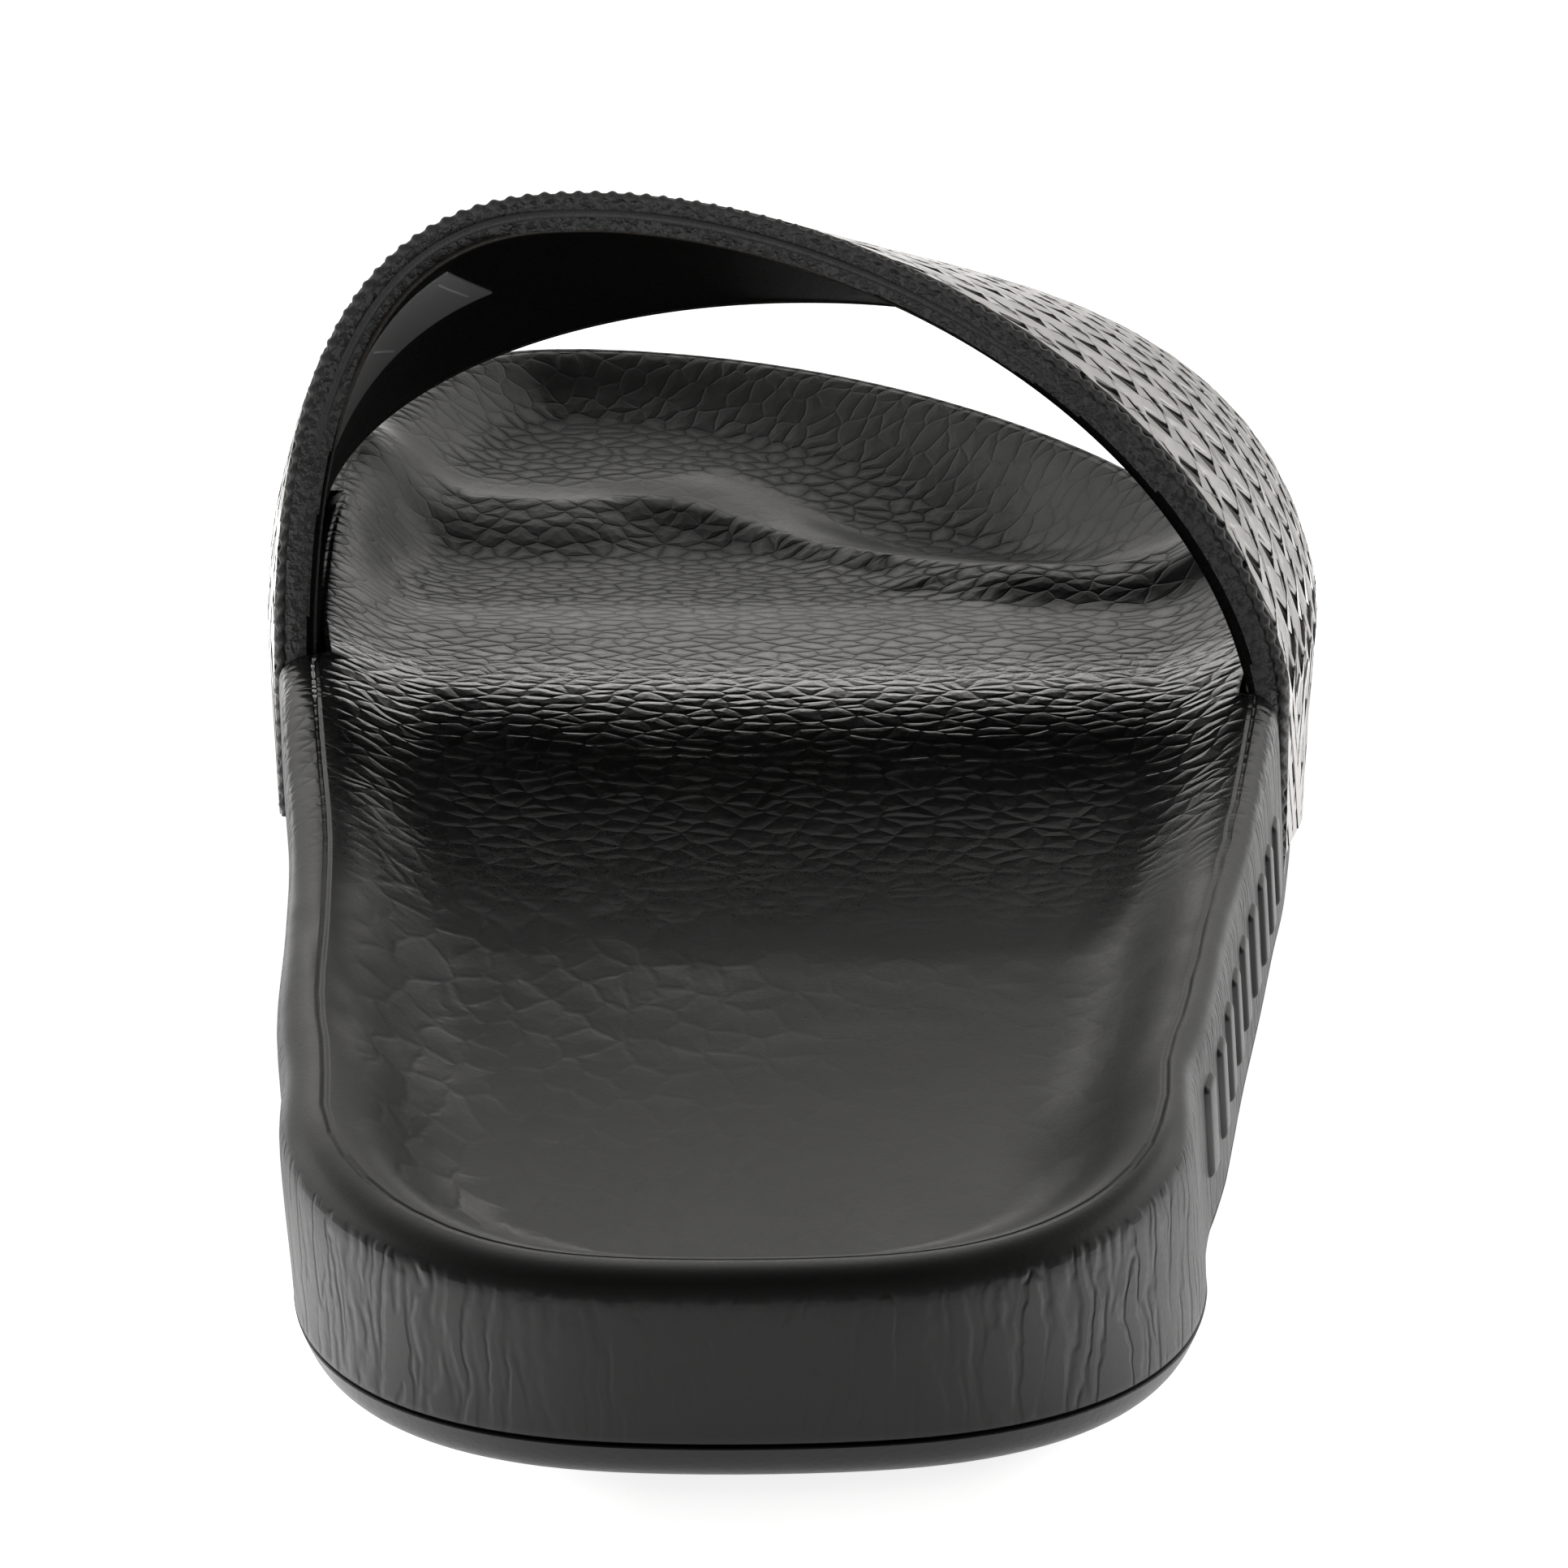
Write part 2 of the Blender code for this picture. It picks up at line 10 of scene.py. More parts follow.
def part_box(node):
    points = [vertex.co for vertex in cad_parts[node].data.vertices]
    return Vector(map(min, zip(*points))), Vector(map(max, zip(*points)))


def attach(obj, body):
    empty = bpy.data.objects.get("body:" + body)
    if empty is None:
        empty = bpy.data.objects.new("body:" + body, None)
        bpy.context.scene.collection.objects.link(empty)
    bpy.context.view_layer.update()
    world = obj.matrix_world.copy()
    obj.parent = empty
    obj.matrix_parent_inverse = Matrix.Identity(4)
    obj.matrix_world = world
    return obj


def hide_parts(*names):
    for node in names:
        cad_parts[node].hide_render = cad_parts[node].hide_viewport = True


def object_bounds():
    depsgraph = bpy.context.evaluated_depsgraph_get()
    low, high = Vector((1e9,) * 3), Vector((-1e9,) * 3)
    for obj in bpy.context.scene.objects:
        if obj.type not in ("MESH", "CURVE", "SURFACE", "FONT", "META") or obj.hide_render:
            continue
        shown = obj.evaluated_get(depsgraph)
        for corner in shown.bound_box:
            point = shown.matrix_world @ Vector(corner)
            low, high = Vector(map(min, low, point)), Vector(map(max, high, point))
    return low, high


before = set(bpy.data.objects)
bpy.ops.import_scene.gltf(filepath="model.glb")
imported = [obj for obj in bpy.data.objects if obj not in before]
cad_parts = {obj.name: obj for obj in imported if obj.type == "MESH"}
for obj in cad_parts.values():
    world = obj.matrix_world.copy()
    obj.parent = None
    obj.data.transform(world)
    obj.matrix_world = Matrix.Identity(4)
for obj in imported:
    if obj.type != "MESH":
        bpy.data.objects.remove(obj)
cadLow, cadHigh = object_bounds()
mm = 0.001


# Helpers: each wraps one step that several pieces share.
class Wire:
    def __init__(self, tree, socket=None):
        self.tree = tree
        self.socket = socket

    def node(self, kind, settings, sockets, out=0):
        made = self.tree.nodes.new(kind)
        for name, value in settings.items():
            setattr(made, name, value)
        for name, value in sockets.items():
            if isinstance(value, Wire):
                self.tree.links.new(value.socket, made.inputs[name])
            else:
                made.inputs[name].default_value = value
        return Wire(self.tree, made.outputs[out])

    def maths(self, operation, first, second=0.0):
        return self.node("ShaderNodeMath", {"operation": operation}, {0: first, 1: second})

    def __add__(self, other):
        return self.maths("ADD", self, other)

    def __radd__(self, other):
        return self.maths("ADD", other, self)

    def __sub__(self, other):
        return self.maths("SUBTRACT", self, other)

    def __rsub__(self, other):
        return self.maths("SUBTRACT", other, self)

    def __mul__(self, other):
        return self.maths("MULTIPLY", self, other)

    def __rmul__(self, other):
        return self.maths("MULTIPLY", other, self)

    def step(self, low, high):
        return self.node(
            "ShaderNodeMapRange",
            {"interpolation_type": "SMOOTHSTEP"},
            {"Value": self, "From Min": low, "From Max": high},
        )


def newMaterial(name, settings):
    # a Principled shader with its even values; what varies is linked by the caller
    material = bpy.data.materials.new(name)
    material.use_nodes = True
    shader = material.node_tree.nodes["Principled BSDF"]
    for socket, value in settings.items():
        shader.inputs[socket].default_value = value
    return material, Wire(material.node_tree), shader


def link(wire, socket):
    wire.tree.links.new(wire.socket, socket)


def grey(level, warmth=0.0):
    return (level * (1 + warmth), level, level * (1 - warmth))


def place(wire):
    return wire.node("ShaderNodeTexCoord", {}, {}, "Object")


def stretched(wire, vector, scale):
    return wire.node("ShaderNodeMapping", {}, {"Vector": vector, "Scale": scale})


def roughened(wire, vector, size, amount):
    # moves a vector about by a soft noise, so that cells lose their straight edges
    sockets = {"Vector": vector, "Scale": 1 / size, "Detail": 2.0}
    wobble = wire.node("ShaderNodeTexNoise", {}, sockets, "Color")
    centred = wire.node("ShaderNodeVectorMath", {"operation": "SUBTRACT"}, {0: wobble, 1: (0.5, 0.5, 0.5)})
    scaled = wire.node("ShaderNodeVectorMath", {"operation": "SCALE"}, {0: centred, "Scale": amount})
    return wire.node("ShaderNodeVectorMath", {"operation": "ADD"}, {0: vector, 1: scaled})


def speckle(wire, vector, size, detail=2.0):
    return wire.node("ShaderNodeTexNoise", {}, {"Vector": vector, "Scale": 1 / size, "Detail": detail})


def attribute(wire, name):
    return wire.node("ShaderNodeAttribute", {"attribute_name": name}, {}, "Fac")


def mixed(wire, share, first, second):
    # one colour fading into another
    colours = {0: share, 6: (*first, 1), 7: (*second, 1)}
    return wire.node("ShaderNodeMix", {"data_type": "RGBA"}, colours, 2)


def bump(wire, height, distance):
    sockets = {"Height": height, "Distance": distance, "Strength": 1.0}
    return wire.node("ShaderNodeBump", {}, sockets)


def fade(value, start, end):
    # a soft step from 0 at start to 1 at end
    share = np.clip((value - start) / (end - start), 0.0, 1.0)
    return share * share * (3 - 2 * share)


def hump(off, width):
    return np.exp(-((off / width) ** 2))


def meshObject(name, mesh):
    thing = bpy.data.objects.new(name, mesh)
    bpy.context.scene.collection.objects.link(thing)
    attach(thing, "root")
    return thing


def finishMesh(bm, name):
    mesh = bpy.data.meshes.new(name)
    bm.to_mesh(mesh)
    bm.free()
    return mesh


def quadCopy(node):
    # the CAD node's loose triangles, welded and paired into quads
    bm = bmesh.new()
    bm.from_mesh(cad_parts[node].data)
    bm.edges.layers.float.new("crease_edge")
    bmesh.ops.remove_doubles(bm, verts=bm.verts, dist=0.01 * mm)
    bmesh.ops.join_triangles(
        bm, faces=bm.faces, angle_face_threshold=math.radians(25), angle_shape_threshold=math.radians(80)
    )
    return bm


def narrowSeam(bm, upward, share=0.8):
    # closes most of the bevel beside the sole's parting line, so that only a fine line is left
    crease = bm.edges.layers.float["crease_edge"]
    moves = {}
    for face in bm.faces:
        if len(face.verts) == 4 and 0.5 < face.normal.z * upward < 0.9:
            ordered = sorted(face.edges, key=lambda e: e.calc_length())
            for edge in ordered[:2]:
                inner, outer = sorted(edge.verts, key=lambda v: -v.co.z * upward)
                moves[inner] = Vector((outer.co.x, outer.co.y, inner.co.z))
                moves[outer] = Vector((outer.co.x, outer.co.y, inner.co.z))
            for edge in ordered[2:]:
                edge[crease] = 1.0
    for vert, corner in moves.items():
        vert.co = vert.co.lerp(corner, share)
    return bm


def softened(bm, name, levels, creaseFrom):
    # a subdivided mesh whose hard edges keep a small radius
    crease = bm.edges.layers.float["crease_edge"]
    for edge in bm.edges:
        if len(edge.link_faces) == 2:
            angle = math.degrees(edge.calc_face_angle(0.0))
            edge[crease] = max(edge[crease], 0.9 * float(fade(angle, creaseFrom, creaseFrom + 40)))
    thing = bpy.data.objects.new("soften", finishMesh(bm, "soften"))
    bpy.context.scene.collection.objects.link(thing)
    modifier = thing.modifiers.new("soften", "SUBSURF")
    modifier.levels = modifier.render_levels = levels
    evaluated = thing.evaluated_get(bpy.context.evaluated_depsgraph_get())
    mesh = bpy.data.meshes.new_from_object(evaluated)
    mesh.name = name
    bpy.data.objects.remove(thing)
    mesh.materials.clear()
    mesh.shade_smooth()
    mesh.set_sharp_from_angle(angle=math.radians(creaseFrom))
    return mesh


def pointsOf(mesh):
    flat = np.empty(len(mesh.vertices) * 3, np.float32)
    mesh.vertices.foreach_get("co", flat)
    return flat.reshape(-1, 3).astype(float)


def setPoints(mesh, points):
    mesh.vertices.foreach_set("co", points.astype(np.float32).ravel())
    mesh.update()


def normalsOf(mesh):
    flat = np.empty(len(mesh.vertices) * 3, np.float32)
    mesh.vertex_normals.foreach_get("vector", flat)
    return flat.reshape(-1, 3).astype(float)


def paint(mesh, name, values):
    layer = mesh.attributes.new(name, "FLOAT", "POINT")
    layer.data.foreach_set("value", np.asarray(values, np.float32))


# Camera and light
photo = {
    "frame": 1932,  # pixels a side
    "focalPixels": 6262,
    "eye": (-0.0057, -0.4712, 0.1568),
    "down": 17.03,  # degrees below the horizon
    "right": 0.576,  # degrees towards +X
    "sensor": 36.0,
}


def makeCamera():
    data = bpy.data.cameras.new("camera")
    data.sensor_width = photo["sensor"]
    data.lens = photo["focalPixels"] * photo["sensor"] / photo["frame"]
    data.clip_start, data.clip_end = 0.01, 50
    camera = bpy.data.objects.new("camera", data)
    camera.location = photo["eye"]
    camera.rotation_euler = Euler((math.radians(90 - photo["down"]), 0, -math.radians(photo["right"])))
    bpy.context.scene.collection.objects.link(camera)
    bpy.context.scene.camera = camera


studio = {
    "floorSize": 14.0,
    "floorColours": (grey(0.88), grey(0.9)),
    "floorSpots": 0.5,  # size of the floor's faint spots
    "floorGlow": 0.82,  # light of the floor itself
    "poolGlow": 2.6,  # and in the pools of light beside the heel and the toe
    "poolSpot": (0.085, -0.135, 0.0),  # mirrored to both sides and to the toe
    "poolReach": (0.02, 0.075),
    "low": 1.8,  # brightness straight ahead near the horizon, over that of the room
    "lowRise": (0.05, 0.45),  # heights over which it fades, as sines
    "lowAside": (0.03, 0.27),  # and distances to the side
    "broad": 0.95,  # brightness of the room beyond the toe
    "broadRise": (0.45, 1.1),
    "horizonShare": 0.3,  # part of it that is left at the horizon
    "horizonRise": (0.0, 0.5),
    "high": 0.10,  # brightness straight up
    "behind": 0.16,  # share of all these behind the viewer
    "turnAway": (-0.45, 0.35),  # from behind the viewer to ahead
    "tint": (1.0, 0.985, 0.965, 1),
    "panelSize": (0.9, 0.55),
    "panelPower": 0.9,
    "panelSpot": (0.75, 0.25, 0.35),
    "panelAim": (0, 0, 0.03),
}


def makeFloor():
    bm = bmesh.new()
    bmesh.ops.create_grid(bm, x_segments=1, y_segments=1, size=studio["floorSize"] / 2)
    floor = bpy.data.objects.new("floor", finishMesh(bm, "floor"))
    bpy.context.scene.collection.objects.link(floor)
    material, wire, shader = newMaterial(
        "paleFloor", {"Roughness": 0.9, "Emission Strength": studio["poolGlow"]}
    )
    spots = speckle(wire, place(wire), studio["floorSpots"], 3.0)
    link(mixed(wire, spots, *studio["floorColours"]), shader.inputs["Base Color"])
    mirrored = wire.node("ShaderNodeVectorMath", {"operation": "ABSOLUTE"}, {0: place(wire)})
    turned = wire.node("ShaderNodeVectorMath", {"operation": "MULTIPLY"}, {0: mirrored, 1: (1, -1, 1)})
    away = wire.node(
        "ShaderNodeVectorMath", {"operation": "DISTANCE"}, {0: turned, 1: studio["poolSpot"]}, "Value"
    )
    dim = studio["floorGlow"] / studio["poolGlow"]
    glow = mixed(wire, away.step(*studio["poolReach"]), grey(1.0), grey(dim))
    link(glow, shader.inputs["Emission Color"])
    floor.data.materials.append(material)


def makeRoom():
    world = bpy.data.worlds.new("room")
    bpy.context.scene.world = world
    world.use_nodes = True
    wire = Wire(world.node_tree)
    backdrop = world.node_tree.nodes["Background"]
    towards = wire.node("ShaderNodeTexCoord", {}, {}, "Generated")
    parts = wire.node("ShaderNodeSeparateXYZ", {}, {"Vector": towards}).socket.node.outputs
    aside, ahead, up = (Wire(wire.tree, parts[axis]) for axis in "XYZ")
    facing = ahead.step(*studio["turnAway"]) * (1 - studio["behind"]) + studio["behind"]
    straight = 1 - wire.maths("ABSOLUTE", aside).step(*studio["lowAside"])
    lowLight = (1 - up.step(*studio["lowRise"])) * straight * studio["low"]
    horizon = up.step(*studio["horizonRise"]) * (1 - studio["horizonShare"]) + studio["horizonShare"]
    broadLight = (1 - up.step(*studio["broadRise"])) * horizon * studio["broad"]
    link((lowLight + broadLight + studio["high"]) * facing, backdrop.inputs["Strength"])
    backdrop.inputs["Color"].default_value = studio["tint"]


def makePanels():
    for side in (-1, 1):
        panel = bpy.data.lights.new("sidePanel", "AREA")
        panel.shape = "RECTANGLE"
        panel.size, panel.size_y = studio["panelSize"]
        panel.energy = studio["panelPower"]
        thing = bpy.data.objects.new("sidePanel", panel)
        out, along, up = studio["panelSpot"]
        thing.location = (side * out, along, up)
        aim = Vector(studio["panelAim"]) - thing.location
        thing.rotation_euler = aim.to_track_quat("-Z", "Y").to_euler()
        thing.visible_camera = False
        bpy.context.scene.collection.objects.link(thing)


bpy.context.scene.view_settings.view_transform = "Standard"
makeCamera()
makeFloor()
makeRoom()
makePanels()
print("camera and studio made")


# Footbed
footbed = {
    "levels": 2,
    "creaseFrom": 35,  # degrees between faces from which an edge stays hard
    "shine": 0.33,  # roughness of the grain's tops
    "creaseShine": 0.55,
    # the darker colour is painted shade in the toe's creases, the lighter one the cell tops and the rest
    # of the bed
    "colours": (grey(0.0030), grey(0.0065, 0.03)),
    "depth": 0.50 * mm,  # of a grain of full height
    "loosen": (5.0 * mm, 2.2 * mm),  # size and reach of the wobble of the creases
    "fine": 0.40 * mm,  # size of the finest grain
    "swell": 8 * mm,  # and of the broadest waves
    "wrinkle": (1.25 * mm, 10.0 * mm),  # of the side wall: pitch and length
    "wrinkleSize": 1.6,  # in pitches
    "wrinkleWidth": 0.12,
    "rimLine": 3.5,  # mm from the wall to the fine line along the rim
    "rimLineWidth": 0.45,  # mm
    "outlineSides": 150,
    "outlineSquash": 0.4,  # makes the plan about as long as wide while it is traced
}
# Leather cells of the toe, of the arch's rear slope and of the heel's dish: size across and along,
# turn in degrees, looseness, then reach and share of the two rises from a crease.
cells = {
    "toe": ((2.9 * mm, 2.7 * mm), 45, 0.75, (0.40, 0.55), (0.10, 0.45)),
    "slope": ((2.9 * mm, 2.3 * mm), 20, 0.9, (0.40, 0.75), (0.12, 0.25)),
    "dish": ((3.2 * mm, 6.5 * mm), 8, 1.0, (0.16, 0.4), (0.5, 0.6)),
}
bedLift = {  # heights of the grains, as shares of the depth
    "toe": 0.46, "slope": 0.15, "dish": 0.13, "wall": 0.26, "fine": 0.022, "swell": 0.25, "line": 0.5,
}
bedGloss = {"toe": 0.07, "slope": -0.13, "wall": 0.08, "fine": 0.14, "swell": 0.08}  # added roughness
dust = {
    "spacing": 11 * mm,
    "size": (0.006, 0.016),  # in spacings
    "patches": 30 * mm,
    "among": (0.52, 0.56),
    "colour": grey(0.10),
}
shoe = {
    "length": cadHigh.y - cadLow.y,
    "ball": 103 * mm,
    "heelLine": -5.7 * mm,  # X of the heel's centre line
    "crestRounding": (-0.045, -0.02, 0.0, 0.02, 0.045),
    "barCrest": (  # across as a share of the ball's width off the heel line, along as one of the length
        (-0.45, 0.862), (-0.34, 0.830), (-0.19, 0.818), (-0.11, 0.829), (-0.04, 0.823),
        (0.09, 0.774), (0.22, 0.714), (0.34, 0.692), (0.50, 0.690),
    ),
}
barForm = {
    "crest": (0.40 * mm, 1.6 * mm),  # lift and half width
    "trough": (0.45 * mm, -4.2 * mm, 2.2 * mm),  # behind the middle: depth, place, half width
    "fill": (-6.0 * mm, 4.6 * mm),  # behind the two ends: place, half width
    "fillLateral": 1.7 * mm,
    "fillMedial": 1.6 * mm,
    "smoothReach": 9 * mm,  # of the band without grain ahead of the crest, and once more in the middle
}
# Soft troughs (negative) and ridges (positive) of the bed: path in mm over the plan, width, lift.
bedCreases = (
    (((-40, -33), (-37, -47), (-34, -61), (-28, -75), (-24, -89)), 1.3, -0.13),
    (((-35, -26), (-31, -42), (-25, -55), (-19, -68), (-13, -76)), 1.2, -0.11),
    (((-43, -60), (-40, -72), (-35, -84), (-31, -96)), 1.3, -0.12),
    (((-28, -22), (-23, -36), (-15, -49), (-8, -58)), 1.2, -0.08),
    (((-38, -84), (-34, -95), (-27, -105)), 1.2, -0.10),
    (((32, -30), (29, -46), (27, -62), (23, -78)), 1.4, -0.10),
    (((25, -26), (20, -44), (17, -60)), 1.3, -0.07),
    (((-44, 62), (-40, 50), (-39, 38), (-41, 26)), 2.0, -0.22),
    (((-36, 66), (-33, 54), (-34, 42)), 1.8, -0.12),
    (((40, 30), (37, 16), (36, 4)), 2.0, -0.16),
    (((-36, 97), (-14, 101), (4, 94), (20, 80), (34, 72)), 2.2, -0.12),
)


def crestAlong(x):
    # Y of the toe bar's crest, on a line rounded over its table
    across, along = np.array(shoe["barCrest"]).T
    share = (x - shoe["heelLine"]) / shoe["ball"]
    near = [np.interp(share + shift, across, along) for shift in shoe["crestRounding"]]
    return (np.mean(near, axis=0) - 0.5) * shoe["length"]


def offLine(points, path):
    # distance in plan of each point from a line through the path
    path = np.array(path, float) * mm
    best = np.full(len(points), 1.0)
    for start, end in zip(path, path[1:]):
        way = end - start
        share = np.clip(((points - start) @ way) / (way @ way), 0, 1)
        best = np.minimum(best, np.linalg.norm(points - start - share[:, None] * way, axis=1))
    return best


def outlineOf(points):
    # the plan's outer line in mm, from the farthest point in each direction
    turn = np.arctan2(points[:, 0], points[:, 1] * footbed["outlineSquash"])
    reach = np.hypot(points[:, 0], points[:, 1])
    bins = ((turn + math.pi) / (2 * math.pi) * footbed["outlineSides"]).astype(int)
    line = []
    for k in range(footbed["outlineSides"]):
        inBin = np.flatnonzero(bins == k)
        line.append(points[inBin[np.argmax(reach[inBin])], :2] / mm)
    return line + line[:1]


def leatherCells(wire, vector, size, turn, looseness, *rises):
    # raised cells with creases between them, on a turned lattice over the plan
    sized = stretched(wire, vector, (1 / size[0], 1 / size[1], 1))
    turned = wire.node("ShaderNodeMapping", {}, {"Vector": sized, "Rotation": (0, 0, math.radians(turn))})
    fromCrease = wire.node(
        "ShaderNodeTexVoronoi",
        {"voronoi_dimensions": "2D", "feature": "DISTANCE_TO_EDGE"},
        {"Vector": turned, "Scale": 1.0, "Randomness": looseness},
    )
    slow, quick = (fromCrease.step(0.0, reach) * share for reach, share in rises)
    return slow + quick


def sprinkled(wire, spot, tone):
    # a few specks of dust over the leather
    near = wire.node("ShaderNodeTexVoronoi", {}, {"Vector": spot, "Scale": 1 / dust["spacing"]})
    chance = speckle(wire, spot, dust["patches"], 0.0)
    speck = (1 - near.step(*dust["size"])) * chance.step(*dust["among"])
    colours = {0: speck, 6: tone, 7: (*dust["colour"], 1)}
    return wire.node("ShaderNodeMix", {"data_type": "RGBA"}, colours, 2)


def footbedMaterial():
    material, wire, shader = newMaterial("grainedFoam", {"IOR": 1.40})
    spot = place(wire)
    loose = roughened(wire, spot, *footbed["loosen"])
    names = ("cellGrain", "slopeGrain", "dishGrain", "uprightGrain", "fromWall")
    onToe, onSlope, onDish, onWall, fromWall = (attribute(wire, name) for name in names)
    pillow, pebble, sheet = (leatherCells(wire, loose, *cells[part]) for part in ("toe", "slope", "dish"))
    pitch, tall = footbed["wrinkle"]
    upright = stretched(wire, loose, (1 / pitch, 1 / pitch, 1 / tall))
    streak = speckle(wire, upright, footbed["wrinkleSize"], 1.0)
    wrinkle = wire.maths("ABSOLUTE", streak - 0.5).step(0.0, footbed["wrinkleWidth"])
    fine = speckle(wire, spot, footbed["fine"], 2.0)
    swell = speckle(wire, spot, footbed["swell"], 1.0)
    fromLine = wire.maths("ABSOLUTE", fromWall - footbed["rimLine"])
    height = pillow * onToe * bedLift["toe"] + pebble * onSlope * bedLift["slope"]
    height = height + sheet * onDish * bedLift["dish"] + wrinkle * onWall * bedLift["wall"]
    height = height + fine * bedLift["fine"] + swell * bedLift["swell"]
    height = height + fromLine.step(0.0, footbed["rimLineWidth"]) * bedLift["line"]
    link(bump(wire, height, footbed["depth"]), shader.inputs["Normal"])
    # the toe's creases: rougher, and painted darker as shade
    crease = (1 - pillow) * onToe
    rough = crease * (footbed["creaseShine"] - footbed["shine"]) + footbed["shine"]
    rough = rough + onWall * bedGloss["wall"] + onToe * bedGloss["toe"] + onSlope * bedGloss["slope"]
    rough = rough + (swell - 0.5) * bedGloss["swell"] + (fine - 0.5) * bedGloss["fine"]
    link(rough, shader.inputs["Roughness"])
    # painted shade: the toe's creases take the darker colour; the fine noise adds random tone
    tone = mixed(wire, (1 - crease) * 0.6 + fine * 0.4, *footbed["colours"])
    link(sprinkled(wire, spot, tone), shader.inputs["Base Color"])
    return material


def barZones(points):
    # how far each point lies ahead of the toe bar's crest, and its share in the bar's three parts
    x = points[:, 0]
    middle = fade(x, -16 * mm, -4 * mm) * fade(x, 24 * mm, 8 * mm)
    return points[:, 1] - crestAlong(x), middle, fade(x, 8 * mm, 28 * mm), fade(x, -12 * mm, -24 * mm)


def shapeBed(points, onBed):
    # the toe bar's crest made crisp, its rear face eased at the ends, and the bed's soft creases
    ahead, middle, lateral, medial = barZones(points)
    lift, width = barForm["crest"]
    points[:, 2] += onBed * lift * (1 - 0.7 * lateral) * hump(ahead, width)
    depth, spot, width = barForm["trough"]
    points[:, 2] -= onBed * depth * middle * hump(ahead - spot, width)
    spot, width = barForm["fill"]
    fill = barForm["fillLateral"] * lateral + barForm["fillMedial"] * medial
    points[:, 2] += onBed * fill * hump(ahead - spot, width)
    for path, width, lift in bedCreases:
        off = offLine(points[:, :2], path)
        points[:, 2] += onBed * lift * mm * hump(off, width * mm)


def paintBed(mesh, points, normals, onBed):
    # where each grain lies
    x, y, facing = points[:, 0], points[:, 1], normals[:, 2]
    ahead, middle = barZones(points)[:2]
    bandEnd = barForm["smoothReach"] * (1 + middle)
    smoothBand = fade(ahead, -1 * mm, 1 * mm) * fade(ahead, bandEnd, bandEnd - 4 * mm)
    toe = fade(y, 34 * mm, 52 * mm) * (1 - 0.95 * smoothBand)
    plateau = 0.40 * fade(y, 4 * mm, 20 * mm) * (1 - smoothBand)
    paint(mesh, "cellGrain", onBed * (0.25 + 0.75 * fade(facing, 0.80, 0.95)) * np.maximum(toe, plateau))
    paint(mesh, "slopeGrain", onBed * fade(y, -58 * mm, -8 * mm) * fade(y, 30 * mm, 0))
    fromWall = offLine(points[:, :2], outlineOf(points))
    paint(mesh, "fromWall", fromWall / mm)
    dish = fade(y, -18 * mm, -48 * mm) * (0.25 + 0.75 * fade(x, 8 * mm, -22 * mm))
    paint(mesh, "dishGrain", onBed * dish * fade(fromWall, 4.5 * mm, 9.5 * mm))
    sideways = fade(np.abs(normals[:, 0]), 0.20, 0.65)
    paint(mesh, "uprightGrain", fade(facing, 0.55, 0.15) * (0.30 + 0.70 * sideways))


def makeFootbed():
    bm = narrowSeam(quadCopy("footbed"), -1)
    mesh = softened(bm, "footbedSkin", footbed["levels"], footbed["creaseFrom"])
    points, normals = pointsOf(mesh), normalsOf(mesh)
    onBed = fade(normals[:, 2], 0.45, 0.75)
    shapeBed(points, onBed)
    setPoints(mesh, points)
    paintBed(mesh, points, normals, onBed)
    piece = meshObject("footbedSkin", mesh)
    mesh.materials.append(footbedMaterial())
    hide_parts("footbed")
    return piece


footbedSkin = makeFootbed()
print("footbed made")


# Outsole
outsole = {
    "levels": 2,
    "creaseFrom": 30,
    "colour": grey(0.007),
    "shine": 0.38,
    "fine": 0.5 * mm,
    "broad": 12 * mm,
    "depth": 0.05 * mm,
}


def outsoleMaterial():
    material, wire, shader = newMaterial(
        "groundRubber", {"Base Color": (*outsole["colour"], 1), "IOR": 1.43}
    )
    fine = speckle(wire, place(wire), outsole["fine"], 3.0)
    broad = speckle(wire, place(wire), outsole["broad"], 3.0)
    link(bump(wire, fine * 0.6 + broad * 0.8, outsole["depth"]), shader.inputs["Normal"])
    link(outsole["shine"] + (broad - 0.5) * 0.2 + (fine - 0.5) * 0.1, shader.inputs["Roughness"])
    return material


def makeOutsole():
    bm = narrowSeam(quadCopy("outsole"), 1)
    mesh = softened(bm, "outsoleSkin", outsole["levels"], outsole["creaseFrom"])
    piece = meshObject("outsoleSkin", mesh)
    mesh.materials.append(outsoleMaterial())
    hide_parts("outsole")


makeOutsole()
print("outsole made")


# Strap: its outer face is read from the CAD node, so that what is moulded on it follows it.
strap = {
    "levels": 2,
    "wall": 3.2 * mm,
    "columns": 160,
    "spring": 26 * mm,  # below this height the strap's ends run straight down
    "tileLong": 11.0 * mm,  # along the arch
    "tileWide": 6.0 * mm,
    "tileSides": 12,
    "tileSteps": (  # inset and lift of each ring, from the net's crest to the middle of the scale
        (0.15 * mm, -0.28 * mm),
        (0.40 * mm, 0.0),
        (0.12 * mm, 0.46 * mm),
        (0.26 * mm, 0.11 * mm),
        (0.70 * mm, 0.06 * mm),
    ),
    "netHeight": 0.30 * mm,
    "slant": 0.05,  # drift of the rows of scales across the strap
    "margin": 1.5 * mm,  # bare edge beside the scales
    "footMargin": 0.3 * mm,  # and at the strap's feet
    "sunk": 0.5 * mm,  # of the scales' underside below the strap's face
    "underStep": (2.0 * mm, 8.0 * mm),  # facets of the scales' underside, along and across
    "ends": 0.5 * mm,  # what is sewn on stops this far from the strap's feet
    "cordSides": 8,
}
